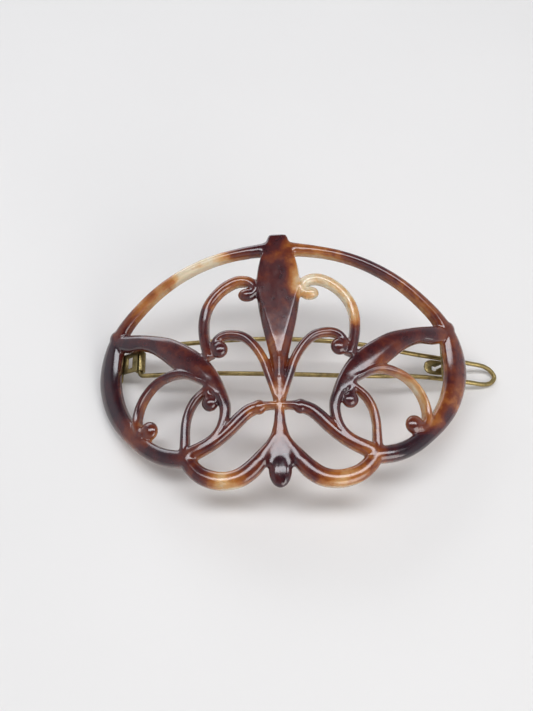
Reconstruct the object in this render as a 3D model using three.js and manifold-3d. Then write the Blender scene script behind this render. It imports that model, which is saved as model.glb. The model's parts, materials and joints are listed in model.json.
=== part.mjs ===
// A hair barrette: a bent openwork celluloid plate in a fleur-de-lis scroll pattern, with a brass wire
// clasp behind it. The wire bow turns in a rolled knuckle at the left and closes over a tongue at the right.
// Millimetres. Plate frame: x across the ornament, y up it, z out of its front face.
import * as THREE from 'three';
import { mergeVertices } from 'three/addons/utils/BufferGeometryUtils.js';
import { ParametricGeometry } from 'three/addons/geometries/ParametricGeometry.js';
import Module from 'manifold-3d';

const wasm = await Module();
wasm.setup();

// Celluloid plate
const bendRadius = 70;
const plateThickness = 2.5;
const plateBack = -plateThickness;

// Brass fittings
const sheetThickness = 0.5;
const fittingGap = 0.3;
const wireRadius = 0.5;
const boreClearance = 0.2;
const rivetShankRadius = 0.7;
const rivetHeadRadius = 1.3;
const rivetHeadHeight = 0.7;
const rivetHoleRadius = rivetShankRadius + fittingGap;
const rivetDepth = 1.2;
const sheetFront = plateBack - fittingGap;
const sheetBack = sheetFront - sheetThickness;

// Knuckle that the bow turns in
const knuckleAcross = -33.7;
const knuckleHeight = 5.4;
const knuckleHalfLength = 2.2;
const boreRadius = wireRadius + boreClearance;
const knuckleRadius = boreRadius + 0.4;
const knuckleLift = sheetFront - knuckleRadius;
const openAngleDegrees = 70;

// Bow: an arched loop, widest in the middle and narrow where it passes the tongue
const bowArchRadius = 118;
const bowCrownAcross = -8.7;
const bowCrownDepth = -9.3;
const bowHeightAtHinge = 5.48;
const bowHeightCrownAcross = -37.3;
const bowHeightRadius = 2270;
const bowTipAcross = 47;

// Tongue of the catch
const tongueStart = 31;
const tongueEnd = 37.6;
const tongueHalfWidth = 1.65;
const riserHalfWidth = 1.1;
const slotAngle = Math.atan2(1, 2);

// Where the rivets sit on the rim
const rivetAcross = 39.9;
const hingeRivetSpread = 2.9;
const catchRivetSpread = 3.1;

// How the barrette lies on a table: it rests on the bow's tip, the hinge side and the lower rim
const restTiltDegrees = 13.7;
const restRollDegrees = -4.8;

// A point of the plate: distance across and up its flat pattern, and lift off the front face
function onPlate(across, up, lift) {
  const turn = across / bendRadius;
  const radius = bendRadius + lift;
  return new THREE.Vector3(radius * Math.sin(turn), up, radius * Math.cos(turn) - bendRadius);
}

// Bends a flat-pattern geometry onto the plate
function bend(geometry) {
  const position = geometry.attributes.position;
  for (let i = 0; i < position.count; i += 1) {
    const bent = onPlate(position.getX(i), position.getY(i), position.getZ(i));
    position.setXYZ(i, bent.x, bent.y, bent.z);
  }
  return geometry;
}

// A closed solid that can be joined and cut
function solid(geometry) {
  geometry.deleteAttribute('normal');
  geometry.deleteAttribute('uv');
  const welded = mergeVertices(geometry, 1e-5);
  const index = welded.index.array;
  const corners = [];
  for (let i = 0; i < index.length; i += 3) {
    const [a, b, c] = [index[i], index[i + 1], index[i + 2]];
    if (a !== b && b !== c && c !== a) {
      corners.push(a, b, c);
    }
  }
  return new wasm.Manifold(new wasm.Mesh({
    numProp: 3,
    vertProperties: new Float32Array(welded.attributes.position.array),
    triVerts: new Uint32Array(corners),
  }));
}

function joined(solids) {
  return solids.reduce((whole, piece) => whole.add(piece));
}

// A named mesh of a finished solid
function pieceMesh(name, shape, material) {
  const mesh = shape.getMesh();
  const geometry = new THREE.BufferGeometry();
  const position = new THREE.BufferAttribute(Float32Array.from(mesh.vertProperties), 3);
  geometry.setAttribute('position', position);
  geometry.setIndex(new THREE.BufferAttribute(Uint32Array.from(mesh.triVerts), 1));
  geometry.computeVertexNormals();
  const piece = new THREE.Mesh(geometry, material);
  piece.name = name;
  return piece;
}

// Cross-section of a strand, as fractions of its width and thickness: flat back, crowned front
const strandSection = [[0.5, 0], [0.5, 0.55], [0.24, 1], [-0.24, 1], [-0.5, 0.55], [-0.5, 0]];

// A carved strand through points of [across, up, width], mirrored when side is -1
function strand(side, points, thickness, stations) {
  const knots = points.map(([across, up, width]) => new THREE.Vector3(side * across, up, width));
  const line = new THREE.CatmullRomCurve3(knots, false, 'centripetal');
  const rows = stations + 2;
  const sides = strandSection.length;
  const back = -0.5 * (plateThickness + thickness);
  const surface = (turn, along, target) => {
    const row = Math.round(along * rows);
    const share = THREE.MathUtils.clamp((row - 1) / stations, 0, 1);
    const centre = line.getPointAt(share);
    const heading = line.getTangentAt(share);
    const length = Math.hypot(heading.x, heading.y);
    const isCap = row === 0 || row === rows;
    const [offset, rise] = isCap ? [0, 0.5] : strandSection[Math.round(turn * sides) % sides];
    const across = centre.x - (heading.y / length) * offset * centre.z;
    const up = centre.y + (heading.x / length) * offset * centre.z;
    target.copy(onPlate(across, up, back + rise * thickness));
  };
  return solid(new ParametricGeometry(surface, sides, rows));
}

// A rounded bead standing through the plate
function bead(side, across, up, radiusAcross, radiusUp) {
  const depth = 0.5 * plateThickness;
  const ball = new THREE.SphereGeometry(1, 10, 6);
  ball.scale(radiusAcross, radiusUp, depth * 1.06);
  ball.translate(side * across, up, -depth);
  return solid(bend(ball));
}

// Upper arch running into the side rim and round to the lower junction
function outerRim(side) {
  return strand(side, [
    [2, 26.7, 2.7], [8.5, 26.1, 2.4], [13, 25.4, 2.3], [17.7, 24.2, 2.3], [22.5, 22.4, 2.4], [27.3, 20, 2.5],
    [32.2, 16.7, 2.7], [36.3, 13.2, 3.1], [38.8, 9.6, 4.2], [40, 5.4, 5.2], [40.2, 1.5, 5.4], [39.3, -2.6, 5.1],
    [37.5, -6.6, 4.7], [34.9, -10.2, 4.2], [31.8, -13.4, 3.8], [28.4, -16.2, 3.6], [24.8, -18, 3.6],
    [19, -19.2, 3.6],
  ], 2.5, 38);
}

// Small step where the petal meets the arch on the outside
function shoulder(side) {
  return bead(side, 38.6, 11.1, 1.9, 1.9);
}

// Broad side petal narrowing to a tail that curls down to the lower junction
function petal(side) {
  return strand(side, [
    [39, 10.2, 3.2], [34.8, 9.1, 3.9], [31.4, 8.6, 3.5], [28.2, 7.5, 4], [25, 5.9, 5.1], [21.9, 3.7, 5.8],
    [19, 1.5, 6], [16.2, -0.7, 5], [14.1, -3, 3.7], [12.5, -5.7, 2.8], [11.5, -8.4, 2.4], [11.6, -11, 2.2],
    [12.5, -13.6, 2.1], [14.4, -15.7, 2.2], [19.4, -18, 2.6],
  ], 2.4, 26);
}

// Thin arc springing from the petal and ending in a bead beside the rim
function hookArc(side) {
  return strand(side, [
    [20.4, 1, 2.2], [22.6, 0, 1.9], [25.2, -0.6, 1.7], [27.4, -1.7, 1.6], [29.3, -3.3, 1.6],
    [30.8, -5.3, 1.6], [31.7, -7.6, 1.7], [31.9, -9.8, 1.8], [31.1, -11.9, 2], [29.6, -12.8, 2.2],
  ], 2.2, 16);
}

// Small inner loop from the petal's underside to the lower junction
function innerLoop(side) {
  return strand(side, [
    [14.2, -3.4, 1.7], [16.5, -5.2, 1.7], [18.2, -6.8, 1.8], [19.4, -8.9, 1.8], [20.1, -11.6, 1.8],
    [20.2, -14.4, 1.9], [20.2, -18, 2.2],
  ], 2.2, 13);
}

// Short drop that hangs in the inner loop
function innerDrop(side) {
  return strand(side, [[14.6, -3.6, 1.8], [15, -5.2, 1.6], [14.8, -7.2, 2.2]], 2.2, 4);
}

// Arm reaching from the waist out to the lower junction
function arm(side) {
  return strand(side, [
    [-0.2, -8.9, 1.7], [2.4, -8.9, 1.7], [4.3, -9.1, 2.4], [6.4, -9.7, 2.3], [8.3, -11.2, 2.3],
    [10.2, -13.1, 2.3], [12.2, -14.9, 2.3], [14.4, -16.5, 2.4], [19.6, -18.7, 2.8],
  ], 2.3, 16);
}

// Lower lobe curling from the junction under the plate to the flare
function lowerLobe(side) {
  return strand(side, [
    [20.2, -18.4, 3.4], [18.4, -21, 3.5], [16.3, -22.8, 3.6], [13.6, -23.9, 3.7], [11, -24.2, 3.7],
    [8.4, -23.7, 3.8], [6, -22.2, 3.8], [3.9, -19.9, 3.4], [2.2, -17.2, 2.4], [1.1, -14.6, 1.5], [0.5, -11.8, 1],
  ], 2.45, 16);
}

// Upper loop rising from the petal's end and curling in against the stem
function upperLoop(side) {
  return strand(side, [
    [14.9, 2.2, 2.2], [15.9, 5.4, 2.3], [16.4, 8.9, 2.3], [16.3, 11.6, 2.3], [15.5, 14.2, 2.3],
    [13.8, 16.6, 2.3], [11.4, 18.5, 2.4], [8.6, 19.5, 2.4], [6.1, 19, 2.3], [4.9, 17.4, 2.2], [5.6, 16.1, 2],
  ], 2.3, 20);
}

// Inner arc running from a bead over and down to the waist
function innerArc(side) {
  return strand(side, [
    [13.9, 4.5, 1.9], [13.4, 6.2, 1.9], [11.8, 7.2, 2], [9.5, 7.2, 2], [7.4, 6.5, 2], [5.7, 5, 2],
    [4.3, 3.1, 2], [3.1, 0.8, 2], [2.3, -1.7, 1.9], [1.4, -4.5, 1.8], [0.6, -7.4, 1.6],
  ], 2.2, 17);
}

function scrollBeads(side) {
  return [
    bead(side, 6.7, 16.1, 2.1, 1.5),
    bead(side, 12.8, 4.1, 1.9, 1.9),
    bead(side, 14.7, -7.6, 1.8, 1.8),
    bead(side, 28.7, -11.9, 2.1, 2.1),
    bead(side, 4.3, -9.2, 1.6, 1.6),
  ];
}

// Broad stem narrowing to the waist and flaring out again into the lobes
function stem() {
  return strand(1, [
    [0, 28.2, 4.6], [0, 24.6, 7.6], [0, 21.3, 9.1], [0, 17.6, 9.7], [0, 13.5, 8.8], [0, 9.5, 7.4], [0, 6, 5.8],
    [0, 3, 4.5], [0, 0, 3.2], [0, -3, 2.3], [0, -6.5, 1.9], [0, -9.8, 2], [0, -12.6, 2.6], [0, -15, 3.7],
    [0, -17.2, 5.6], [0, -19.4, 8], [0, -21.6, 7],
  ], 2.55, 22);
}

// Square knob over the arch at the stem's head
function crest() {
  return strand(1, [[0, 29.7, 4.2], [0, 27, 5.2]], 2.5, 2);
}

// Blind hole from the back of the rim for a rivet's shank
function rivetBore(across, up) {
  const depth = rivetDepth + 2 * fittingGap;
  const hole = new THREE.CylinderGeometry(rivetHoleRadius, rivetHoleRadius, depth, 14);
  hole.rotateX(Math.PI / 2);
  hole.translate(across, up, plateBack - fittingGap + depth / 2);
  return solid(bend(hole));
}

function plate(rivetPlaces) {
  const pieces = [stem(), crest(), bead(1, 0, -23.7, 2.6, 3.2)];
  for (const side of [-1, 1]) {
    pieces.push(outerRim(side), shoulder(side), petal(side), hookArc(side), innerLoop(side));
    pieces.push(innerDrop(side), arm(side), lowerLobe(side), upperLoop(side), innerArc(side));
    pieces.push(...scrollBeads(side));
  }
  const bores = rivetPlaces.map(([across, up]) => rivetBore(across, up));
  return joined(pieces).subtract(joined(bores));
}

// Height of the bow's centre line up the ornament, and its depth behind the plate
function bowHeight(across) {
  return bowHeightAtHinge - (across - bowHeightCrownAcross) ** 2 / (2 * bowHeightRadius);
}

function bowDepth(across) {
  return bowCrownDepth - (across - bowCrownAcross) ** 2 / (2 * bowArchRadius);
}

// The wire starts and ends inside the knuckle, so its two ends are the hinge's pins
function wireBow(axis) {
  const pinStart = 0.25;
  const pinEnd = knuckleHalfLength + 0.3;
  const strandHalves = [
    [-19.5, 3.5], [-8, 3.95], [3, 4.05], [14, 3.85], [22, 3.3], [28, 2.65], [35, 2.4], [41, 2.3], [44.8, 2.1],
    [46.3, 1.3],
  ];
  const half = (sign) => [
    new THREE.Vector3(axis.x, axis.y + sign * pinStart, axis.z),
    new THREE.Vector3(axis.x, axis.y + sign * pinEnd * 0.6, axis.z),
    new THREE.Vector3(axis.x, axis.y + sign * pinEnd, axis.z),
    new THREE.Vector3(axis.x + 0.4, axis.y + sign * (pinEnd + 0.55), axis.z + 0.1),
    new THREE.Vector3(axis.x + 1.5, axis.y + sign * (pinEnd + 0.75), axis.z + 0.4),
    ...strandHalves.map(([x, gap]) => new THREE.Vector3(x, bowHeight(x) + sign * gap, bowDepth(x))),
  ];
  const tip = new THREE.Vector3(bowTipAcross, bowHeight(bowTipAcross), bowDepth(bowTipAcross));
  const path = new THREE.CatmullRomCurve3([...half(-1), tip, ...half(1).reverse()], false, 'centripetal');
  const round = new THREE.Shape().absarc(0, 0, wireRadius, 0, 2 * Math.PI);
  return solid(new THREE.ExtrudeGeometry(round, { steps: 130, curveSegments: 4, extrudePath: path }));
}

// Sheet brass lying against the back of the rim, from a flat outline
function bentSheet(outline) {
  const sheet = new THREE.ExtrudeGeometry(outline, { depth: sheetThickness, bevelEnabled: false, curveSegments: 5 });
  sheet.translate(0, 0, sheetBack);
  return solid(bend(sheet));
}

// Rectangle with rounded corners, by its middle and half sizes
function roundedRectangle(path, across, up, halfWidth, halfHeight, radius) {
  const [left, right] = [across - halfWidth, across + halfWidth];
  const [bottom, top] = [up - halfHeight, up + halfHeight];
  path.moveTo(left + radius, bottom);
  path.lineTo(right - radius, bottom);
  path.absarc(right - radius, bottom + radius, radius, -Math.PI / 2, 0);
  path.lineTo(right, top - radius);
  path.absarc(right - radius, top - radius, radius, 0, Math.PI / 2);
  path.lineTo(left + radius, top);
  path.absarc(left + radius, top - radius, radius, Math.PI / 2, Math.PI);
  path.lineTo(left, bottom + radius);
  path.absarc(left + radius, bottom + radius, radius, Math.PI, 1.5 * Math.PI);
  return path;
}

function roundHole(across, up, radius) {
  return new THREE.Path().absarc(across, up, radius, 0, 2 * Math.PI, true);
}

// Hinge bracket: riveted pad, open window and the rolled knuckle along its inner edge
function hingeBracket(axis, rivetPlaces) {
  const pad = roundedRectangle(new THREE.Shape(), -rivetAcross, knuckleHeight, 1.9, 4.4, 1);
  pad.holes = rivetPlaces.map(([across, up]) => roundHole(across, up, rivetHoleRadius));
  const frame = roundedRectangle(new THREE.Shape(), -36, knuckleHeight, 2.2, knuckleHalfLength, 0.3);
  frame.holes = [roundedRectangle(new THREE.Path(), -35.9, knuckleHeight, 0.7, 1.3, 0.3)];
  const wall = [
    [boreRadius, -knuckleHalfLength], [knuckleRadius, -knuckleHalfLength],
    [knuckleRadius, knuckleHalfLength], [boreRadius, knuckleHalfLength], [boreRadius, -knuckleHalfLength],
  ];
  const knuckle = new THREE.LatheGeometry(wall.map(([r, y]) => new THREE.Vector2(r, y)), 20);
  knuckle.translate(axis.x, axis.y, axis.z);
  const bore = new THREE.CylinderGeometry(boreRadius, boreRadius, 4 * knuckleHalfLength, 20);
  bore.translate(axis.x, axis.y, axis.z);
  return joined([bentSheet(pad), bentSheet(frame)]).subtract(solid(bore)).add(solid(knuckle));
}

// Leaf-shaped tongue with a keyhole slot, lying between the bow's strands
function tongue() {
  const drop = bowDepth(tongueEnd) - bowDepth(tongueStart);
  const length = Math.hypot(tongueEnd - tongueStart, drop);
  const leaf = new THREE.Shape();
  leaf.moveTo(0, 0);
  leaf.bezierCurveTo(0, 1.2, 1.4, tongueHalfWidth, 2.8, tongueHalfWidth);
  leaf.bezierCurveTo(4.6, tongueHalfWidth, 5.4, riserHalfWidth, length, riserHalfWidth);
  leaf.lineTo(length, -riserHalfWidth);
  leaf.bezierCurveTo(5.4, -riserHalfWidth, 4.6, -tongueHalfWidth, 2.8, -tongueHalfWidth);
  leaf.bezierCurveTo(1.4, -tongueHalfWidth, 0, -1.2, 0, 0);
  const keyhole = new THREE.Path();
  keyhole.absarc(2.3, -0.35, 0.6, slotAngle + 0.5, slotAngle + 2 * Math.PI - 0.5);
  keyhole.absarc(4.3, 0.65, 0.28, slotAngle - Math.PI / 2, slotAngle + Math.PI / 2);
  keyhole.closePath();
  leaf.holes = [keyhole];
  const blade = new THREE.ExtrudeGeometry(leaf, { depth: sheetThickness, bevelEnabled: false, curveSegments: 7 });
  blade.translate(0, 0, -sheetThickness / 2);
  blade.rotateY(Math.asin(-drop / length));
  blade.translate(tongueStart, bowHeight(tongueStart), bowDepth(tongueStart));
  return solid(blade);
}

// Catch: riveted pad, a riser between the strands and the tongue folded back under it
function catchPlate(rivetPlaces) {
  const up = rivetPlaces.reduce((sum, place) => sum + place[1], 0) / rivetPlaces.length;
  const pad = roundedRectangle(new THREE.Shape(), rivetAcross, up, 2.1, 4.6, 1);
  pad.holes = rivetPlaces.map(([across, height]) => roundHole(across, height, rivetHoleRadius));
  const riserAcross = tongueEnd - sheetThickness / 2;
  const padRadius = bendRadius + (sheetFront + sheetBack) / 2;
  const riserTop = Math.sqrt(padRadius ** 2 - riserAcross ** 2) - bendRadius;
  const riserFoot = bowDepth(tongueEnd) - sheetThickness / 2;
  const riser = new THREE.BoxGeometry(sheetThickness, 2 * riserHalfWidth, riserTop - riserFoot);
  riser.translate(riserAcross, bowHeight(tongueEnd), (riserTop + riserFoot) / 2);
  return joined([bentSheet(pad), solid(riser), tongue()]);
}

// Rivet: a low domed head behind the sheet and a shank into the rim
function rivet(across, up) {
  const headFront = sheetBack - fittingGap;
  const headBack = headFront - rivetHeadHeight;
  const shankEnd = plateBack + rivetDepth;
  const profile = [new THREE.Vector2(0, headBack)];
  for (let step = 1; step <= 4; step += 1) {
    const turn = (step / 4) * (Math.PI / 2);
    profile.push(new THREE.Vector2(
      rivetHeadRadius * Math.sin(turn),
      headFront - 0.2 - (rivetHeadHeight - 0.2) * Math.cos(turn),
    ));
  }
  profile.push(
    new THREE.Vector2(rivetHeadRadius, headFront),
    new THREE.Vector2(rivetShankRadius, headFront),
    new THREE.Vector2(rivetShankRadius, shankEnd),
    new THREE.Vector2(0, shankEnd),
  );
  const body = new THREE.LatheGeometry(profile, 14);
  body.rotateX(Math.PI / 2);
  body.translate(across, up, 0);
  return solid(bend(body));
}

function celluloid() {
  return new THREE.MeshStandardMaterial({ color: 0x6a2a14, roughness: 0.2, metalness: 0 });
}

function agedBrass() {
  return new THREE.MeshStandardMaterial({ color: 0x8d7a45, roughness: 0.45, metalness: 1 });
}

function barrette() {
  const axis = onPlate(knuckleAcross, knuckleHeight, knuckleLift);
  const catchHeight = bowHeight(onPlate(rivetAcross, 0, 0).x);
  const hingeRivets = [-1, 1].map((end) => [-rivetAcross, knuckleHeight + end * hingeRivetSpread]);
  const catchRivets = [-1, 1].map((end) => [rivetAcross, catchHeight + end * catchRivetSpread]);
  const group = new THREE.Group();
  group.name = 'barrette';
  group.add(
    pieceMesh('ornament', plate([...hingeRivets, ...catchRivets]), celluloid()),
    pieceMesh('hinge_bracket', hingeBracket(axis, hingeRivets), agedBrass()),
    pieceMesh('wire_bow', wireBow(axis), agedBrass()),
    pieceMesh('catch_plate', catchPlate(catchRivets), agedBrass()),
  );
  hingeRivets.forEach(([across, up], i) => {
    group.add(pieceMesh(`hinge_rivet_${i + 1}`, rivet(across, up), agedBrass()));
  });
  catchRivets.forEach(([across, up], i) => {
    group.add(pieceMesh(`catch_rivet_${i + 1}`, rivet(across, up), agedBrass()));
  });
  group.userData.hinge = { point: axis.toArray(), axis: [0, 1, 0], openAngleDegrees };
  return group;
}

// Lays the barrette down as it rests, with the middle of its footprint at the origin
function laidOnTable(group) {
  const tilt = THREE.MathUtils.degToRad(restTiltDegrees);
  const roll = THREE.MathUtils.degToRad(restRollDegrees);
  const turned = new THREE.Matrix4().makeRotationFromEuler(new THREE.Euler(tilt, roll, 0));
  group.children.forEach((piece) => piece.geometry.applyMatrix4(turned));
  const box = new THREE.Box3().setFromObject(group);
  const middle = box.getCenter(new THREE.Vector3());
  const moved = new THREE.Matrix4().makeTranslation(-middle.x, -middle.y, -box.min.z);
  group.children.forEach((piece) => piece.geometry.applyMatrix4(moved));
  const hinge = group.userData.hinge;
  hinge.point = new THREE.Vector3(...hinge.point).applyMatrix4(turned).applyMatrix4(moved).toArray();
  hinge.axis = new THREE.Vector3(...hinge.axis).transformDirection(turned).toArray();
  return group;
}

export default laidOnTable(barrette());
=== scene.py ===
import bpy
import bmesh
import json
import math
from mathutils import Matrix, Vector


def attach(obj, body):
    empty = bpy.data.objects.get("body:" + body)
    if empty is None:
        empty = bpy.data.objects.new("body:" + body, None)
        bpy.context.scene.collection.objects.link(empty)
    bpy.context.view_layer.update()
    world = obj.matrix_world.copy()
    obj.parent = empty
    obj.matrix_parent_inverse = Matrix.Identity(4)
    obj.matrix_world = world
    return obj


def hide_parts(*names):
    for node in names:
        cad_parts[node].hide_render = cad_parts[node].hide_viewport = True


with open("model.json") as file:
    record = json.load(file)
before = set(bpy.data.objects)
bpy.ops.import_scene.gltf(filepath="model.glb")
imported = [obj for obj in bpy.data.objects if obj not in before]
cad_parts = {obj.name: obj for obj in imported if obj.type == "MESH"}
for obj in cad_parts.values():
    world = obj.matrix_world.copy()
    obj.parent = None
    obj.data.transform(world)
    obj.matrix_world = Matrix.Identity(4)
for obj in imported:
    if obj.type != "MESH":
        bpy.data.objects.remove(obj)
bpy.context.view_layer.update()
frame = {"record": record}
record = frame["record"]
scene = bpy.context.scene
mm = 0.001

# the plate's own frame: across, up and lift off the front face, in millimetres
plate = {
    "bendRadius": 70.0,
    "thickness": 2.5,
    "tilt": math.radians(13.7),   # how it leans on the table
    "roll": math.radians(-4.8),
}
brass = {
    "sheet": 0.5,
    "gap": 0.3,
    "edge": 0.07,                 # rounding of the stamped edges
    "wireRadius": 0.5,
    "shankRadius": 0.7,
    "headRadius": 1.3,
    "headHeight": 0.7,
    "shankInPlate": 1.2,          # how far a rivet goes up into the plate
    "rivetAcross": 39.9,
}
knuckle = {
    "across": -33.7,
    "up": 5.4,
    "halfLength": 2.2,
    "bore": 0.7,
    "wall": 0.4,
    "seamAt": 118,                # degrees round the roll
    "rollSweep": 338,
}

plateBack = -plate["thickness"]
sheetFront = plateBack - brass["gap"]
sheetBack = sheetFront - brass["sheet"]
knuckleRadius = knuckle["bore"] + knuckle["wall"]
restTurn = Matrix.Rotation(plate["tilt"], 3, "X") @ Matrix.Rotation(plate["roll"], 3, "Y")


def onPlate(across, up, lift):
    turn = across / plate["bendRadius"]
    radius = plate["bendRadius"] + lift
    return Vector((radius * math.sin(turn), up, radius * math.cos(turn) - plate["bendRadius"]))


hingeAxis = onPlate(knuckle["across"], knuckle["up"], sheetFront - knuckleRadius)
hingePlace = Vector(record["behaviour"]["joints"][0]["pos_m"])
plateOrigin = hingePlace - restTurn @ hingeAxis * mm


def inRow(point):
    return restTurn @ point * mm + plateOrigin


# makers that several pieces share
def smoothLine(knots, step):
    # an even walk along a centripetal Catmull-Rom curve through the knots
    pts = [Vector(k) for k in knots]
    pts = [2 * pts[0] - pts[1]] + pts + [2 * pts[-1] - pts[-2]]
    fine = []
    for a, b, c, d in zip(pts, pts[1:], pts[2:], pts[3:]):
        ta, tb, tc = (max(math.sqrt((q - p).length), 1e-4) for p, q in ((a, b), (b, c), (c, d)))
        leave = ((b - a) / ta - (c - a) / (ta + tb) + (c - b) / tb) * tb
        arrive = ((c - b) / tb - (d - b) / (tb + tc) + (d - c) / tc) * tb
        for i in range(16):
            t = i / 16
            fine.append(b * (2 * t ** 3 - 3 * t ** 2 + 1) + leave * (t ** 3 - 2 * t ** 2 + t)
                        + c * (3 * t ** 2 - 2 * t ** 3) + arrive * (t ** 3 - t ** 2))
    fine.append(pts[-2])
    marks = [0.0]
    for p, q in zip(fine, fine[1:]):
        marks.append(marks[-1] + (q - p).length)
    count = max(2, round(marks[-1] / step))
    walk, k = [], 0
    for i in range(count + 1):
        want = marks[-1] * i / count
        while k < len(marks) - 2 and marks[k + 1] < want:
            k += 1
        walk.append(fine[k].lerp(fine[k + 1], (want - marks[k]) / max(marks[k + 1] - marks[k], 1e-9)))
    return walk


def loftRings(bm, rings):
    # closed tube through rings of points, with a fan at each end
    rows = [[bm.verts.new(p) for p in ring] for ring in rings]
    n = len(rows[0])
    for a, b in zip(rows, rows[1:]):
        for i in range(n):
            bm.faces.new((a[i], a[(i + 1) % n], b[(i + 1) % n], b[i]))
    for row, flip in ((rows[0], True), (rows[-1], False)):
        bm.faces.new(row[::-1] if flip else row)


def toMesh(bm, name):
    bmesh.ops.recalc_face_normals(bm, faces=bm.faces)
    mesh = bpy.data.meshes.new(name)
    bm.to_mesh(mesh)
    bm.free()
    return mesh


def placePiece(name, mesh, body, nodes, material):
    # hand the finished mesh to the frame
    mesh.materials.clear()
    mesh.materials.append(material)
    for poly in mesh.polygons:
        poly.use_smooth = True
    piece = bpy.data.objects.new(name, mesh)
    scene.collection.objects.link(piece)
    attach(piece, body)
    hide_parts(*nodes)
    return piece


# celluloid finish
celluloid = {
    "swirl": 5.0,                 # how far patch edges wander
    "streak": 0.09,               # depth of the soft streaks inside a patch
    "fleck": 0.02,
    "paintedWallGlow": 0.16,             # painted glow: how much lighter and warmer the upright walls are painted, standing in for light shining through the thin edges
    "clearFrom": 0.40,            # tones between which it turns from solid to clear
    "clearTo": 0.95,
    "clearness": 0.5,
    "sheen": (0.16, 0.23),        # roughness, rubbed to hazy
    "wave": 0.5,                  # slow unevenness of the polish
    "grain": 0.015,
    "relief": 0.25,
    "coat": 0.7,
    "coatRoughness": 0.11,
    "tones": [  # dark to clear
        (0.00, (0.010, 0.003, 0.007)),
        (0.20, (0.026, 0.005, 0.009)),
        (0.38, (0.072, 0.011, 0.010)),
        (0.54, (0.170, 0.034, 0.009)),
        (0.70, (0.440, 0.150, 0.030)),
        (0.86, (0.760, 0.440, 0.170)),
        (1.00, (0.900, 0.780, 0.560)),
    ],
    "patches": [  # across, up, reach, tone
        (0, 29, 4, 0.34), (0, 23, 4.5, 0.50), (0, 17, 5.5, 0.30), (4.6, 16, 2, 0.48), (0, 10, 5, 0.38),
        (0, 4, 4, 0.46), (0, -7, 4.5, 0.60), (0, -15, 5, 0.48), (0, -24, 4, 0.26),
        (-9, 26, 6, 0.36), (-18, 24, 8, 1.0), (-29, 18.5, 6, 0.68), (-37, 12, 5, 0.48),
        (8, 26, 6, 0.66), (14, 25, 4, 0.54), (20, 23.5, 6, 0.28), (31, 17.5, 8, 0.56), (39, 11, 5, 0.55),
        (-10, 20, 5, 0.62), (-15, 15.5, 5, 0.55), (-16.3, 9, 5, 0.30), (-16, 4, 4, 0.26),
        (7, 19, 5, 0.95), (13, 17.5, 6, 0.95), (16.3, 11, 4, 0.86), (16, 5, 4, 0.40),
        (-9, 6.8, 5, 0.38), (9, 6.8, 5, 0.42), (-4, 2, 4, 0.62), (4, 2, 4, 0.46),
        (-20, 3, 8, 0.36), (21, 3, 8, 0.34), (-30, 8.5, 6, 0.34), (30, 8.5, 6, 0.34),
        (-14, -4, 5, 0.38), (15, -2, 5, 0.32), (-40, 3, 8, 0.16), (-38, -6, 6, 0.20),
        (-34, -12, 4, 0.42), (-31, -15, 5, 0.55), (-25, -18, 5, 0.26), (40, 6, 5, 0.46), (40.5, 0, 4, 0.40),
        (39, -6, 5, 0.57), (34, -12, 5, 0.24), (28, -16.5, 6, 0.12), (-26, -1.5, 6, 0.34),
        (26, -1, 6, 0.55), (30, -5, 6, 0.78), (32, -10, 4, 0.66), (28.7, -12, 2.6, 0.48),
        (-28.7, -12, 3, 0.46), (-19, -9, 5, 0.30), (20, -11, 6, 0.58), (-12, -10, 4, 0.28),
        (11.6, -9, 4, 0.28), (-5, -9.5, 2.6, 0.60), (5, -9.5, 3, 0.36), (-13, -15.5, 5, 0.42),
        (13, -16, 5, 0.48), (-17, -22, 5, 0.40), (-10.5, -25, 4, 0.82), (-6, -22, 4, 0.42),
        (7, -22.5, 4.5, 0.44), (13, -25, 5, 0.76), (18, -21, 4, 0.58),
    ],
}


def node(tree, kind, inputs=None, **settings):
    made = tree.nodes.new(kind)
    for key, value in settings.items():
        setattr(made, key, value)
    for key, value in (inputs or {}).items():
        if isinstance(value, bpy.types.NodeSocket):
            tree.links.new(value, made.inputs[key])
        else:
            made.inputs[key].default_value = value
    return made


def newMaterial(name):
    material = bpy.data.materials.new(name)
    material.use_nodes = True
    tree = material.node_tree
    tree.nodes.clear()
    shader = node(tree, "ShaderNodeBsdfPrincipled")
    output = node(tree, "ShaderNodeOutputMaterial")
    tree.links.new(shader.outputs["BSDF"], output.inputs["Surface"])
    return material, tree, shader


def ramp(tree, value, stops):
    made = node(tree, "ShaderNodeValToRGB", {"Fac": value})
    elements = made.color_ramp.elements
    while len(elements) < len(stops):
        elements.new(0.5)
    for element, (place, colour) in zip(elements, stops):
        element.position = place
        element.color = (*colour, 1) if len(colour) == 3 else colour
    return made.outputs["Color"]


def math2(tree, operation, a, b=0.0, clamp=False):
    made = node(tree, "ShaderNodeMath", {0: a, 1: b}, operation=operation)
    made.use_clamp = clamp
    return made.outputs[0]


def mapped(tree, value, low, high, newLow, newHigh):
    made = node(tree, "ShaderNodeMapRange", {"Value": value, "From Min": low, "From Max": high,
                                             "To Min": newLow, "To Max": newHigh})
    made.interpolation_type = "SMOOTHSTEP"
    return made.outputs["Result"]


def millimetres(tree):
    place = node(tree, "ShaderNodeTexCoord").outputs["Object"]
    return node(tree, "ShaderNodeVectorMath", {0: place, "Scale": 1 / mm}, operation="SCALE").outputs[0]


def noiseAt(tree, place, scale, detail=2.0, rough=0.5):
    return node(tree, "ShaderNodeTexNoise", {"Vector": place, "Scale": scale, "Detail": detail,
                                             "Roughness": rough})


def vectorMath(tree, operation, a, b=None, scale=None):
    inputs = {0: a}
    if b is not None:
        inputs[1] = b
    if scale is not None:
        inputs["Scale"] = scale
    made = node(tree, "ShaderNodeVectorMath", inputs, operation=operation)
    return made.outputs["Value" if operation in ("DOT_PRODUCT", "DISTANCE") else "Vector"]


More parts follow.
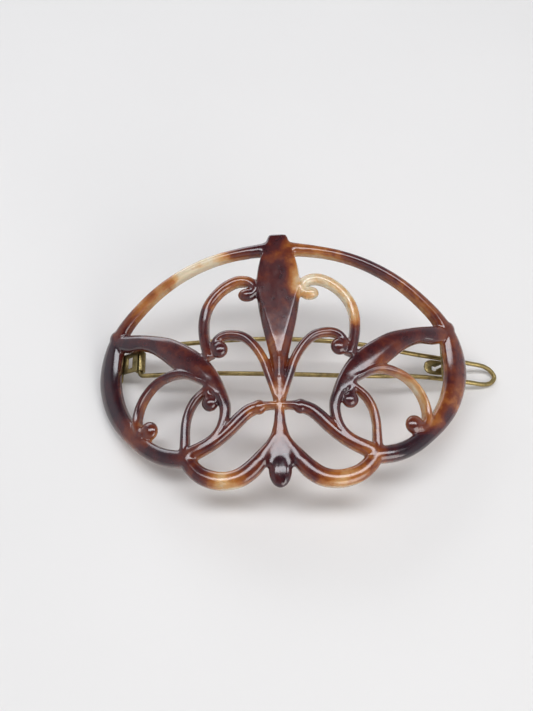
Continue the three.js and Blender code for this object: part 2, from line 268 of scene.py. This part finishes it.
def towardFront(tree, place):
    # 1 on the crowned front, 0 on the upright walls, -1 on the back
    along = restTurn.col[1]
    bendAxis = plateOrigin / mm - restTurn.col[2] * plate["bendRadius"]
    fromAxis = vectorMath(tree, "SUBTRACT", place, bendAxis)
    reach = vectorMath(tree, "DOT_PRODUCT", fromAxis, tuple(along))
    onAxis = vectorMath(tree, "SCALE", tuple(along), scale=reach)
    outward = vectorMath(tree, "NORMALIZE", vectorMath(tree, "SUBTRACT", fromAxis, onAxis))
    surface = node(tree, "ShaderNodeNewGeometry").outputs["Normal"]
    return vectorMath(tree, "DOT_PRODUCT", surface, outward)


def celluloidMaterial():
    material, tree, shader = newMaterial("tortoiseshellCelluloid")
    place = millimetres(tree)
    # swirl the place so that patch edges run like poured colour
    swirl = noiseAt(tree, place, 0.13, 2.0, 0.5).outputs["Color"]
    swirl = vectorMath(tree, "SUBTRACT", swirl, (0.5, 0.5, 0.5))
    drift = vectorMath(tree, "ADD", place, vectorMath(tree, "SCALE", swirl, scale=celluloid["swirl"]))
    tone = mapped(tree, noiseAt(tree, place, 0.08, 2.0, 0.5).outputs["Fac"], 0.3, 0.7, 0.15, 0.5)
    for across, up, reach, wanted in celluloid["patches"]:
        centre = inRow(onPlate(across, up, -1)) / mm
        away = vectorMath(tree, "DISTANCE", drift, centre)
        share = mapped(tree, away, reach * 1.4, reach * 0.4, 0.0, 1.0)
        tone = node(tree, "ShaderNodeMix", {"Factor": share, 2: tone, 3: wanted}).outputs[0]
    # soft streaks inside the patches, and a painted glow: the upright walls are painted lighter and warmer
    # than the crowned front, standing in for light shining through the thin edges
    streak = noiseAt(tree, drift, 0.35, 3.0, 0.55).outputs["Fac"]
    fleck = noiseAt(tree, place, 1.6, 3.0, 0.6).outputs["Fac"]
    streaks = mapped(tree, streak, 0.28, 0.72, -celluloid["streak"], celluloid["streak"])
    flecks = mapped(tree, fleck, 0.30, 0.70, -celluloid["fleck"], celluloid["fleck"])
    tone = math2(tree, "ADD", math2(tree, "ADD", tone, streaks), flecks)
    # painted glow on the walls, masked by how far each face turns away from the crowned front
    wall = mapped(tree, towardFront(tree, place), 0.75, 0.05, 0.0, celluloid["paintedWallGlow"])
    tone = math2(tree, "ADD", tone, wall, clamp=True)
    tree.links.new(ramp(tree, tone, celluloid["tones"]), shader.inputs["Base Color"])
    clear = mapped(tree, tone, celluloid["clearFrom"], celluloid["clearTo"], 0.0, celluloid["clearness"])
    tree.links.new(clear, shader.inputs["Transmission Weight"])
    rub = vectorMath(tree, "MULTIPLY", place, (0.9, 0.5, 0.7))
    handling = noiseAt(tree, rub, 1.1, 3.0, 0.55).outputs["Fac"]
    tree.links.new(mapped(tree, handling, 0.35, 0.75, *celluloid["sheen"]), shader.inputs["Roughness"])
    wave = noiseAt(tree, place, 0.40, 2.0, 0.5).outputs["Fac"]
    relief = math2(tree, "ADD", math2(tree, "MULTIPLY", wave, celluloid["wave"]),
                   math2(tree, "MULTIPLY", handling, celluloid["grain"]))
    bump = node(tree, "ShaderNodeBump", {"Height": relief, "Strength": celluloid["relief"],
                                         "Distance": 0.2 * mm})
    tree.links.new(bump.outputs["Normal"], shader.inputs["Normal"])
    shader.inputs["IOR"].default_value = 1.54
    shader.inputs["Subsurface Weight"].default_value = 0.12
    shader.inputs["Subsurface Radius"].default_value = (1.0, 0.35, 0.15)
    shader.inputs["Subsurface Scale"].default_value = mm
    shader.inputs["Coat Weight"].default_value = celluloid["coat"]
    shader.inputs["Coat IOR"].default_value = 1.5
    shader.inputs["Coat Roughness"].default_value = celluloid["coatRoughness"]
    return material


def brassMaterial(name, bright, dull, shift):
    material, tree, shader = newMaterial(name)
    place = millimetres(tree)
    place = node(tree, "ShaderNodeVectorMath", {0: place, 1: (shift, 0, 0)}, operation="ADD").outputs[0]
    tarnish = noiseAt(tree, place, 0.5, 5.0, 0.65).outputs["Fac"]
    grime = noiseAt(tree, place, 2.5, 4.0, 0.7).outputs["Fac"]
    blend = math2(tree, "ADD", math2(tree, "MULTIPLY", tarnish, 0.7), math2(tree, "MULTIPLY", grime, 0.3))
    between = tuple((a + b) / 2 for a, b in zip(bright, dull))
    colour = ramp(tree, blend, [(0.34, dull), (0.50, between), (0.66, bright)])
    tree.links.new(colour, shader.inputs["Base Color"])
    tree.links.new(mapped(tree, blend, 0.35, 0.65, 0.55, 0.28), shader.inputs["Roughness"])
    bump = node(tree, "ShaderNodeBump", {"Height": grime, "Strength": 0.3, "Distance": 0.1 * mm})
    tree.links.new(bump.outputs["Normal"], shader.inputs["Normal"])
    shader.inputs["Metallic"].default_value = 1.0
    return material


materials = {
    "celluloid": celluloidMaterial(),
    "wire": brassMaterial("agedBrassWire", (0.50, 0.38, 0.15), (0.17, 0.13, 0.06), 0),
    "sheet": brassMaterial("agedBrassSheet", (0.42, 0.33, 0.14), (0.14, 0.11, 0.05), 31),
    "rivet": brassMaterial("agedBrassRivet", (0.52, 0.40, 0.17), (0.20, 0.15, 0.07), 57),
}
print("finishes ready")

# the ornament's strands: thickness, then across, up and width along the strand, mirrored left and right
ornament = {
    "outerRim": (2.5, [
        (2, 26.8, 3.1), (8.5, 26.1, 2.4), (13, 25.4, 2.3), (17.7, 24.2, 2.3), (22.5, 22.4, 2.4),
        (27.3, 20, 2.5), (32.2, 16.7, 2.7), (36.3, 13.2, 3.1), (38.8, 9.6, 4.2), (40, 5.4, 5.2),
        (40.2, 1.5, 5.4), (39.3, -2.6, 5.1), (37.5, -6.6, 4.7), (34.9, -10.2, 4.2), (31.8, -13.4, 3.8),
        (28.4, -16.2, 3.6), (24.8, -18, 3.6), (19, -19.2, 3.6)]),
    "petal": (2.4, [
        (39, 10.2, 3.2), (34.8, 9.1, 3.9), (31.4, 8.6, 3.5), (28.2, 7.5, 4), (25, 5.9, 5.1),
        (21.9, 3.7, 5.8), (19, 1.5, 6), (16.2, -0.7, 5), (14.1, -3, 3.7), (12.5, -5.7, 2.8),
        (11.5, -8.4, 2.4), (11.6, -11, 2.2), (12.5, -13.6, 2.1), (14.4, -15.7, 2.2), (19.4, -18, 2.6)]),
    "hookArc": (2.6, [
        (13.3, -5.8, 1.1), (15.1, -3.7, 1.3), (17.5, -2, 1.5), (20.4, -0.5, 1.7), (22.8, -0.2, 1.8),
        (25.2, -0.7, 1.7), (27.4, -1.7, 1.6), (29.3, -3.3, 1.6), (30.8, -5.3, 1.6), (31.7, -7.6, 1.7),
        (31.9, -9.8, 1.8), (31.1, -11.9, 2), (29.6, -12.8, 2.2)]),
    "innerLoop": (2.2, [
        (14.2, -3.4, 1.7), (16.5, -5.2, 1.7), (18.2, -6.8, 1.8), (19.4, -8.9, 1.8), (20.1, -11.6, 1.8),
        (20.2, -14.4, 1.9), (20.2, -18, 2.2)]),
    "innerDrop": (2.2, [(14.6, -3.6, 1.8), (15, -5.2, 1.6), (14.8, -7.2, 2.2)]),
    "arm": (2.3, [
        (-0.2, -8.9, 1.7), (2.4, -8.9, 1.7), (4.3, -9.1, 2.5), (6.4, -9.8, 2.7), (8.3, -11.3, 2.8),
        (10.2, -13.2, 2.7), (12.2, -15, 2.5), (14.4, -16.5, 2.4), (19.6, -18.7, 2.8)]),
    "lowerLobe": (2.45, [
        (20.2, -18.4, 3.4), (18.4, -21, 3.5), (16.3, -22.8, 3.6), (13.6, -23.9, 3.7), (11, -24.2, 3.7),
        (8.4, -23.7, 3.8), (6, -22.2, 3.8), (3.9, -19.9, 3.4), (2.3, -17.5, 2.2), (1.2, -15.2, 1.1)]),
    "upperLoop": (2.3, [
        (14.9, 2.2, 2.2), (15.9, 5.4, 2.3), (16.4, 8.9, 2.3), (16.3, 11.6, 2.3), (15.5, 14.2, 2.3),
        (13.8, 16.6, 2.3), (11.4, 18.5, 2.4), (8.6, 19.5, 2.4), (6.1, 19, 2.3), (4.9, 17.4, 2.2),
        (5.6, 16.1, 2)]),
    "innerArc": (2.2, [
        (13.9, 4.5, 1.9), (13.4, 6.2, 1.9), (11.8, 7.2, 2), (9.5, 7.2, 2), (7.4, 6.5, 2), (5.7, 5, 2),
        (4.3, 3.1, 2), (3.1, 0.8, 2), (2.3, -1.7, 1.9), (1.4, -4.5, 1.8), (0.6, -7.4, 1.6)]),
}
stem = {
    "thickness": 2.6,
    "knots": [(0, 28.2, 4.6), (0, 24.6, 7.6), (0, 21.3, 9.1), (0, 17.6, 9.7), (0, 13.5, 8.8), (0, 9.5, 7.4),
              (0, 6, 5.8), (0, 3, 4.5), (0, 0, 3.2), (0, -3, 2.3)],
    "panelFoot": 4.7,             # where the flat panel's blade comes to its narrow end
    "panelHalfAtFoot": 1.0,
    "panelSpread": 0.27,          # how fast it widens upwards
    "panelShare": 0.46,           # and the most of the stem's width it takes to each side
}
flare = {
    "thickness": 2.4,
    "knots": [(0, 1.5, 3.2), (0, -3, 2.3), (0, -6.5, 1.9), (0, -9.8, 2), (0, -12.6, 2.7), (0, -15, 4),
              (0, -17.2, 6.2), (0, -19.2, 8), (0, -20.8, 7), (0, -22.6, 4.2)],
    "sink": 0.65,                 # how far the web between the lobes drops towards the foot
    "sinkFrom": -11,
    "sinkOver": 9,
}
crest = {"thickness": 2.55, "knots": [(0, 29.85, 4.2), (0, 26.8, 5.8)]}
beads = [  # across, up, radius across, radius up
    (38.6, 11.1, 1.9, 1.9), (6.7, 16.1, 2.1, 1.5), (12.8, 4.1, 1.9, 1.9), (14.7, -7.6, 1.8, 1.8),
    (28.7, -11.9, 2.1, 2.1), (4.3, -9.2, 1.6, 1.6)]
drop = {
    "up": -22.5,
    "radiusAcross": 2.4,
    "radiusUp": 3.65,
    "bulge": 0.98,                # its depth beside half the plate's thickness
    "fluteTop": -20.6,
    "fluteFade": 1.2,
    "flutePitch": 0.95,
    "fluteDepth": 0.05,
}
meltPatches = [  # where strands melt together: across, half width, from, to, rounds
    (0, 7, -20.6, -11.5, 14), (0, 3.2, -22.2, -18.4, 7), (0, 6.5, 25, 31, 10), (0, 2.5, 1.5, 6, 8),
    (14.8, 2.6, -6.2, -1.6, 12), (20, 3, -20.4, -16.4, 6)]
carving = {"step": 0.45, "voxel": 0.18, "smoothing": 14}


def crownedSection(width, thickness, panel):
    # flat back with eased corners, upright sides, rounded front or a near-flat panel between bevels
    half = width / 2
    corner = min(0.22, width * 0.12)
    side = 0.5 * thickness
    section = [(-half, corner), (-half + corner, 0), (half - corner, 0), (half, corner)]
    if panel:
        ridge = thickness * 1.03
        return section + [(half, side), (panel, thickness), (0, ridge), (-panel, thickness), (-half, side)]
    for i in range(13):
        turn = math.pi * i / 12
        section.append((half * math.cos(turn), side + (thickness - side) * math.sin(turn) ** 0.9))
    return section


def flareThickness(up):
    # the web between the lobes sinks towards the drop
    share = min(1.0, max(0.0, (flare["sinkFrom"] - up) / flare["sinkOver"]))
    return flare["thickness"] - flare["sink"] * share * share * (3 - 2 * share)


def stemPanel(up, width):
    # half width of the stem's flat panel, a blade that narrows downwards
    blade = stem["panelHalfAtFoot"] + stem["panelSpread"] * (up - stem["panelFoot"])
    return max(0.3, min(stem["panelShare"] * width, blade))


def strand(bm, side, knots, thickness, panelAt=None):
    walk = smoothLine(knots, carving["step"])
    rings = []
    for i, here in enumerate(walk):
        ahead = walk[min(i + 1, len(walk) - 1)] - walk[max(i - 1, 0)]
        length = math.hypot(ahead.x, ahead.y)
        sideways = Vector((-ahead.y, ahead.x)) / length
        panel = panelAt(here.y, here.z) if panelAt else None
        thick = thickness(here.y) if callable(thickness) else thickness
        back = -0.5 * (plate["thickness"] + thick)
        ring = []
        for offset, rise in crownedSection(here.z, thick, panel):
            across = here.x + sideways.x * offset
            ring.append(Vector((side * across, here.y + sideways.y * offset, back + rise)))
        rings.append(ring)
    loftRings(bm, rings)


def bead(bm, across, up, radiusAcross, radiusUp):
    depth = plate["thickness"] / 2
    bulge = depth * 1.06
    place = Matrix.Translation((across, up, -depth)) @ Matrix.Diagonal((radiusAcross, radiusUp, bulge, 1))
    bmesh.ops.create_uvsphere(bm, u_segments=24, v_segments=14, radius=1, matrix=place)


def footDrop(bm):
    depth = plate["thickness"] / 2
    place = (Matrix.Translation((0, drop["up"], -depth))
             @ Matrix.Diagonal((drop["radiusAcross"], drop["radiusUp"], depth * drop["bulge"], 1)))
    bmesh.ops.create_uvsphere(bm, u_segments=48, v_segments=28, radius=1, matrix=place)


def fluteCut(point):
    # shallow lengthwise flutes in the front of the drop under the stem
    fade = min(1.0, max(0.0, (drop["fluteTop"] - point.y) / drop["fluteFade"]))
    fade *= min(1.0, max(0.0, point.z + plate["thickness"] / 2))
    if fade == 0 or abs(point.x) > drop["radiusAcross"]:
        return 0.0
    return drop["fluteDepth"] * fade * (0.5 - 0.5 * math.cos(2 * math.pi * point.x / drop["flutePitch"]))


def meltPatch(mesh, across, half, lowUp, highUp, rounds):
    # the same patch on both sides, feathered by three shrinking passes
    bm = bmesh.new()
    bm.from_mesh(mesh)
    for i in range(3):
        inset = 0.4 * i
        near = [v for v in bm.verts if abs(abs(v.co.x) - across) < half - inset
                and lowUp + inset < v.co.y < highUp - inset]
        for _ in range(rounds):
            bmesh.ops.smooth_vert(bm, verts=near, factor=0.5,
                                  use_axis_x=True, use_axis_y=True, use_axis_z=True)
    bm.to_mesh(mesh)
    bm.free()


def makeOrnament():
    # every strand is its own closed body, joined into one before the surface is evened out
    bodies = []

    def body(build, *settings):
        bm = bmesh.new()
        build(bm, *settings)
        bodies.append(bpy.data.objects.new("strandBody", toMesh(bm, "strandBody")))

    body(strand, 1, stem["knots"], stem["thickness"], stemPanel)
    body(strand, 1, flare["knots"], flareThickness)
    body(strand, 1, crest["knots"], crest["thickness"], stemPanel)
    body(footDrop)
    for side in (-1, 1):
        for thickness, knots in ornament.values():
            body(strand, side, knots, thickness)
        for across, *rest in beads:
            body(bead, side * across, *rest)
    joined = bodies[0]
    scene.collection.objects.link(joined)
    for other in bodies[1:]:
        scene.collection.objects.link(other)
        union = joined.modifiers.new("union", "BOOLEAN")
        union.operation, union.solver, union.object = "UNION", "MANIFOLD", other
    remesh = joined.modifiers.new("even", "REMESH")
    remesh.mode, remesh.voxel_size = "VOXEL", carving["voxel"]
    soften = joined.modifiers.new("soften", "SMOOTH")
    soften.factor, soften.iterations = 0.5, carving["smoothing"]
    depsgraph = bpy.context.evaluated_depsgraph_get()
    mesh = bpy.data.meshes.new_from_object(joined.evaluated_get(depsgraph))
    mesh.name = "ornamentCarved"
    for made in bodies:
        spent = made.data
        bpy.data.objects.remove(made)
        bpy.data.meshes.remove(spent)
    for patch in meltPatches:
        meltPatch(mesh, *patch)
    for vertex in mesh.vertices:
        across, up, lift = vertex.co
        vertex.co = inRow(onPlate(across, up, lift - fluteCut(vertex.co)))
    print("ornament faces", len(mesh.polygons))
    return placePiece("ornament_carved", mesh, "frame", ["ornament"], materials["celluloid"])


makeOrnament()
print("ornament carved")


# brass clasp
bow = {
    "archRadius": 118.0,
    "crownAcross": -8.7,
    "crownDepth": -9.3,
    "hingeUp": 5.48,              # height at the hinge, falling away towards the tip
    "hingeAcross": -37.3,
    "dropRadius": 2270.0,
    "tipAcross": 47.0,
    "strandHalves": [(-19.5, 3.5), (-8, 3.95), (3, 4.05), (14, 3.85), (22, 3.3), (28, 2.65), (35, 2.4),
                     (41, 2.3), (44.8, 2.1), (46.3, 1.3)],
}


def bowHeight(across):
    return bow["hingeUp"] - (across - bow["hingeAcross"]) ** 2 / (2 * bow["dropRadius"])


def bowDepth(across):
    return bow["crownDepth"] - (across - bow["crownAcross"]) ** 2 / (2 * bow["archRadius"])


def sweptWire(path, radius, sides=18):
    # round wire along a path, its ends eased over
    bm = bmesh.new()
    forward = (path[1] - path[0]).normalized()
    normal = forward.orthogonal().normalized()
    rings = []
    for i, here in enumerate(path):
        ahead = (path[min(i + 1, len(path) - 1)] - path[max(i - 1, 0)]).normalized()
        normal = (normal - ahead * normal.dot(ahead)).normalized()
        across = ahead.cross(normal)
        ends = min(i, len(path) - 1 - i)
        size = radius * (0.72, 0.93, 1)[min(ends, 2)]
        rings.append([here + (normal * math.cos(a) + across * math.sin(a)) * size
                      for a in (2 * math.pi * k / sides for k in range(sides))])
    loftRings(bm, rings)
    return bm


def makeBow():
    pinEnd = knuckle["halfLength"] + brass["gap"]

    def half(sign):
        corner = [(0, 0.25, 0), (0, pinEnd * 0.6, 0), (0, pinEnd, 0), (0.4, pinEnd + 0.55, 0.1),
                  (1.5, pinEnd + 0.75, 0.4)]
        start = [hingeAxis + Vector((x, sign * y, z)) for x, y, z in corner]
        return start + [Vector((x, bowHeight(x) + sign * gap, bowDepth(x))) for x, gap in bow["strandHalves"]]
    tip = Vector((bow["tipAcross"], bowHeight(bow["tipAcross"]), bowDepth(bow["tipAcross"])))
    path = smoothLine(half(-1) + [tip] + half(1)[::-1], 0.25)
    bm = sweptWire(path, brass["wireRadius"])
    for vertex in bm.verts:
        vertex.co = inRow(vertex.co)
    return placePiece("bow_wire", toMesh(bm, "bowWire"), "bow", ["wire_bow"], materials["wire"])


def arcPoints(x, y, radius, start, end, steps=6):
    return [(x + radius * math.cos(start + (end - start) * i / steps),
             y + radius * math.sin(start + (end - start) * i / steps)) for i in range(steps + 1)]


def roundedBox(x, y, halfWidth, halfHeight, radius):
    quarter = math.pi / 2
    corners = [(1, -1), (1, 1), (-1, 1), (-1, -1)]
    outline = []
    for i, (sx, sy) in enumerate(corners):
        outline += arcPoints(x + sx * (halfWidth - radius), y + sy * (halfHeight - radius), radius,
                             (i - 1) * quarter, i * quarter)
    return outline


def circle(x, y, radius):
    return arcPoints(x, y, radius, 0, 2 * math.pi, 20)[:-1]


def stampedSheet(name, outline, holes):
    # a filled flat curve with thickness and eased edges, centred on its own plane
    curve = bpy.data.curves.new(name + "Curve", "CURVE")
    curve.dimensions = "2D"
    curve.fill_mode = "BOTH"
    curve.extrude = brass["sheet"] / 2 - brass["edge"]
    curve.bevel_depth = brass["edge"]
    curve.bevel_resolution = 2
    curve.offset = -brass["edge"]
    for loop in [outline] + holes:
        spline = curve.splines.new("POLY")
        spline.points.add(len(loop) - 1)
        for point, (x, y) in zip(spline.points, loop):
            point.co = (x, y, 0, 1)
        spline.use_cyclic_u = True
    helper = bpy.data.objects.new(name + "Helper", curve)
    scene.collection.objects.link(helper)
    mesh = bpy.data.meshes.new_from_object(helper.evaluated_get(bpy.context.evaluated_depsgraph_get()))
    bpy.data.objects.remove(helper)
    bpy.data.curves.remove(curve)
    bm = bmesh.new()
    bm.from_mesh(mesh)
    bpy.data.meshes.remove(mesh)
    bmesh.ops.remove_doubles(bm, verts=bm.verts, dist=0.0005)
    return bm


def joinInto(target, source):
    mesh = bpy.data.meshes.new("part")
    source.to_mesh(mesh)
    source.free()
    target.from_mesh(mesh)
    bpy.data.meshes.remove(mesh)


def bentOnPlate(bm, lift):
    for vertex in bm.verts:
        vertex.co = onPlate(vertex.co.x, vertex.co.y, vertex.co.z + lift)
    return bm


def rolledKnuckle():
    # sheet rolled into a sleeve, with the roll's seam left open
    bm = bmesh.new()
    inner, outer, half = knuckle["bore"], knuckleRadius, knuckle["halfLength"]
    edge = brass["edge"]
    section = [(inner, -half + edge), (inner + edge, -half), (outer - edge, -half), (outer, -half + edge),
               (outer, half - edge), (outer - edge, half), (inner + edge, half), (inner, half - edge)]
    steps = 40
    rings = []
    for i in range(steps + 1):
        turn = math.radians(knuckle["seamAt"] + knuckle["rollSweep"] * i / steps)
        rings.append([hingeAxis + Vector((r * math.cos(turn), y, r * math.sin(turn))) for r, y in section])
    loftRings(bm, rings)
    return bm


def rivetPlaces(sign, up, spread):
    return [(sign * brass["rivetAcross"], up + end * spread) for end in (-1, 1)]


catchUp = bowHeight(onPlate(brass["rivetAcross"], 0, 0).x)
hingeRivets = rivetPlaces(-1, knuckle["up"], 2.9)
catchRivets = rivetPlaces(1, catchUp, 3.1)
rivetHole = brass["shankRadius"] + brass["gap"]


def finishSheet(bm, name, nodeName):
    for vertex in bm.verts:
        vertex.co = inRow(vertex.co)
    mesh = toMesh(bm, name)
    piece = placePiece(name, mesh, "frame", [nodeName], materials["sheet"])
    mesh.set_sharp_from_angle(angle=math.radians(38))
    return piece


bracket = {
    "padHalf": (1.9, 4.4),        # the pad under the rim, half across and half up
    "padCorner": 1.0,
    "armsAcross": -36.0,
    "armsHalf": (2.2, 2.2),
    "windowAcross": -35.9,
    "windowHalf": (0.7, 1.3),
    "corner": 0.3,
}


def makeHingeBracket():
    up = knuckle["up"]
    padOutline = roundedBox(-brass["rivetAcross"], up, *bracket["padHalf"], bracket["padCorner"])
    armsOutline = roundedBox(bracket["armsAcross"], up, *bracket["armsHalf"], bracket["corner"])
    window = roundedBox(bracket["windowAcross"], up, *bracket["windowHalf"], bracket["corner"])
    pad = stampedSheet("pad", padOutline, [circle(x, y, rivetHole) for x, y in hingeRivets])
    arms = stampedSheet("arms", armsOutline, [window])
    joinInto(pad, arms)
    bentOnPlate(pad, (sheetFront + sheetBack) / 2)
    joinInto(pad, rolledKnuckle())
    return finishSheet(pad, "hinge_bracket_stamped", "hinge_bracket")


tongue = {
    "padHalf": (2.1, 4.6),
    "padCorner": 1.0,
    "start": 31.0,
    "end": 37.6,
    "halfWidth": 1.65,
    "riserHalf": 1.1,
    "slotAngle": math.atan2(1, 2),
    "slotBig": (2.3, -0.35, 0.6),     # along, across and radius of the keyhole's round end
    "slotSmall": (4.3, 0.65, 0.28),
}


def makeCatch():
    outline = roundedBox(brass["rivetAcross"], catchUp, *tongue["padHalf"], tongue["padCorner"])
    pad = stampedSheet("catchPad", outline, [circle(x, y, rivetHole) for x, y in catchRivets])
    bentOnPlate(pad, (sheetFront + sheetBack) / 2)
    fall = bowDepth(tongue["end"]) - bowDepth(tongue["start"])
    length = math.hypot(tongue["end"] - tongue["start"], fall)
    half, neck = tongue["halfWidth"], tongue["riserHalf"]
    leafSide = smoothLine([(0, 0, 0), (0.35, half * 0.62, 0), (1.3, half * 0.93, 0), (2.8, half, 0),
                           (4.6, half * 0.92, 0), (6.2, neck * 1.05, 0), (length - 0.3, neck, 0)], 0.3)
    leaf = [(p.x, p.y) for p in leafSide] + [(p.x, -p.y) for p in leafSide[:0:-1]]
    slot = tongue["slotAngle"]
    keyhole = (arcPoints(*tongue["slotBig"], slot + 0.5, slot + 2 * math.pi - 0.5, 18)
               + arcPoints(*tongue["slotSmall"], slot - math.pi / 2, slot + math.pi / 2))
    blade = stampedSheet("tongue", leaf, [keyhole])
    lay = (Matrix.Translation((tongue["start"], bowHeight(tongue["start"]), bowDepth(tongue["start"])))
           @ Matrix.Rotation(math.asin(-fall / length), 4, "Y"))
    blade.transform(lay)
    joinInto(pad, blade)
    # riser bent out of the same strip: down from the pad and round into the tongue
    riserAcross = tongue["end"] - brass["sheet"] / 2
    padRadius = plate["bendRadius"] + (sheetFront + sheetBack) / 2
    top = math.sqrt(padRadius ** 2 - riserAcross ** 2) - plate["bendRadius"]
    foot = bowDepth(tongue["end"])
    strip = smoothLine([(riserAcross - 1.3, 0, foot + 0.50), (riserAcross - 0.45, 0, foot + 0.22),
                        (riserAcross, 0, foot + 0.75), (riserAcross, 0, (top + foot) / 2),
                        (riserAcross, 0, top)], 0.15)
    bm = bmesh.new()
    rings = []
    for i, here in enumerate(strip):
        ahead = (strip[min(i + 1, len(strip) - 1)] - strip[max(i - 1, 0)]).normalized()
        out = Vector((ahead.z, 0, -ahead.x)) * brass["sheet"] / 2
        corner = Vector((0, brass["edge"], 0))
        wide = Vector((0, neck, 0))
        middle = here + Vector((0, bowHeight(tongue["end"]), 0))
        inside = out * 0.72
        rings.append([middle + out - wide + corner, middle + out + wide - corner, middle + inside + wide,
                      middle - inside + wide, middle - out + wide - corner, middle - out - wide + corner,
                      middle - inside - wide, middle + inside - wide])
    loftRings(bm, rings)
    joinInto(pad, bm)
    return finishSheet(pad, "catch_tongue", "catch_plate")


def makeRivet(name, nodeName, across, up):
    # domed head behind the sheet and a shank that ends inside the plate
    head, shank = brass["headRadius"], brass["shankRadius"]
    headFront = sheetBack - brass["gap"]
    shankEnd = plateBack + brass["shankInPlate"]
    brim, ease, tip = 0.15, 0.05, 0.001
    domeSteps, sides = 8, 28
    profile = [(tip, headFront - brass["headHeight"])]
    for i in range(1, domeSteps + 1):
        turn = i / domeSteps * math.pi / 2
        rise = (brass["headHeight"] - brim) * math.cos(turn)
        profile.append((head * math.sin(turn), headFront - brim - rise))
    profile += [(head, headFront - ease), (head - ease, headFront), (shank, headFront),
                (shank, shankEnd - 2 * ease), (shank - 2 * ease, shankEnd), (tip, shankEnd)]
    bm = bmesh.new()
    rings = [[Vector((across + r * math.cos(a), up + r * math.sin(a), z))
              for a in (2 * math.pi * k / sides for k in range(sides))] for r, z in profile]
    loftRings(bm, rings)
    for vertex in bm.verts:
        vertex.co = inRow(onPlate(*vertex.co))
    mesh = toMesh(bm, name)
    piece = placePiece(name, mesh, "frame", [nodeName], materials["rivet"])
    mesh.set_sharp_from_angle(angle=math.radians(40))
    return piece


makeBow()
makeHingeBracket()
makeCatch()
for side, places in (("hinge", hingeRivets), ("catch", catchRivets)):
    for i, (across, up) in enumerate(places):
        makeRivet(f"{side}_rivet_head_{i + 1}", f"{side}_rivet_{i + 1}", across, up)
print("clasp made")

# setting: pale floor, soft light, camera
studio = {
    "floorColour": (0.78, 0.76, 0.73),
    "floorHalf": 2.0,             # metres
    "zenith": 0.05,               # dim overhead so that dark celluloid stays dark
    "horizon": 0.55,
    "skyColour": (0.86, 0.90, 0.98, 1),
    "middle": (0, 0, 0.01),
    "lamps": {  # place in metres, width and height, watts, colour
        "overheadStrip": ((0, 0, 0.60), (0.90, 0.17), 3.1, (0.93, 0.95, 1.0)),
        "backFill": ((-0.35, 0.75, 0.35), (0.70, 0.40), 2.4, (0.93, 0.95, 1.0)),
        "frontFill": ((0.45, -0.60, 0.40), (0.60, 0.50), 3.2, (1.0, 0.97, 0.94)),
    },
}
view = {
    "azimuth": math.radians(2.5),     # right of the plate's middle
    "below": math.radians(22),        # below the plate's own normal
    "roll": math.radians(-0.7),
    "distance": 220.0,
    "sensor": 36,
    "height": 145.4,                  # what the view takes in from top to bottom at the plate's middle
    "aimShift": (2.515, 1.329),       # the aim, left of and above the plate's middle
}


def makeFloor():
    material, tree, shader = newMaterial("paleFloor")
    place = millimetres(tree)
    cloud = noiseAt(tree, place, 0.01, 3.0, 0.5).outputs["Fac"]
    base = studio["floorColour"]
    tree.links.new(ramp(tree, cloud, [(0.3, tuple(c * 0.97 for c in base)), (0.7, base)]),
                   shader.inputs["Base Color"])
    shader.inputs["Roughness"].default_value = 0.75
    bm = bmesh.new()
    bmesh.ops.create_grid(bm, x_segments=2, y_segments=2, size=studio["floorHalf"])
    mesh = toMesh(bm, "floor")
    mesh.materials.append(material)
    floor = bpy.data.objects.new("floor", mesh)
    scene.collection.objects.link(floor)


def softLight(name, place, target, size, power, colour):
    data = bpy.data.lights.new(name, "AREA")
    data.shape = "RECTANGLE"
    data.size, data.size_y = size
    data.energy = power
    data.color = colour
    lamp = bpy.data.objects.new(name, data)
    scene.collection.objects.link(lamp)
    lamp.location = place
    lamp.rotation_mode = "QUATERNION"
    lamp.rotation_quaternion = (Vector(target) - Vector(place)).to_track_quat("-Z", "Y")


def makeLights():
    world = bpy.data.worlds.new("softRoom")
    scene.world = world
    world.use_nodes = True
    tree = world.node_tree
    height = node(tree, "ShaderNodeSeparateXYZ", {0: node(tree, "ShaderNodeTexCoord").outputs["Generated"]})
    background = tree.nodes["Background"]
    background.inputs["Color"].default_value = studio["skyColour"]
    tree.links.new(mapped(tree, height.outputs["Z"], 0.45, 0.85, studio["horizon"], studio["zenith"]),
                   background.inputs["Strength"])
    for name, (place, size, power, colour) in studio["lamps"].items():
        softLight(name, place, studio["middle"], size, power, colour)
    scene.view_settings.view_transform = "Standard"


def makeCamera():
    a, b, roll = view["azimuth"], view["below"], view["roll"]
    toward = Vector((math.sin(a) * math.cos(b), -math.sin(b), math.cos(a) * math.cos(b)))
    right = Vector((0, 1, 0)).cross(toward).normalized()
    up = toward.cross(right)
    right, up = (math.cos(roll) * right + math.sin(roll) * up, math.cos(roll) * up - math.sin(roll) * right)
    dx, dy = view["aimShift"]
    target = -right * dx + up * dy
    place = toward * view["distance"]
    back = (place - target).normalized()
    right = (right - back * right.dot(back)).normalized()
    up = back.cross(right)
    turn = restTurn @ Matrix((right, up, back)).transposed()
    data = bpy.data.cameras.new("camera")
    data.sensor_fit = "AUTO"
    data.sensor_width = view["sensor"]
    data.lens = view["sensor"] * view["distance"] / view["height"]
    data.clip_start = 0.01
    camera = bpy.data.objects.new("camera", data)
    scene.collection.objects.link(camera)
    camera.matrix_world = Matrix.Translation(inRow(place)) @ turn.to_4x4()
    scene.camera = camera


makeFloor()
makeLights()
makeCamera()
print("setting ready")
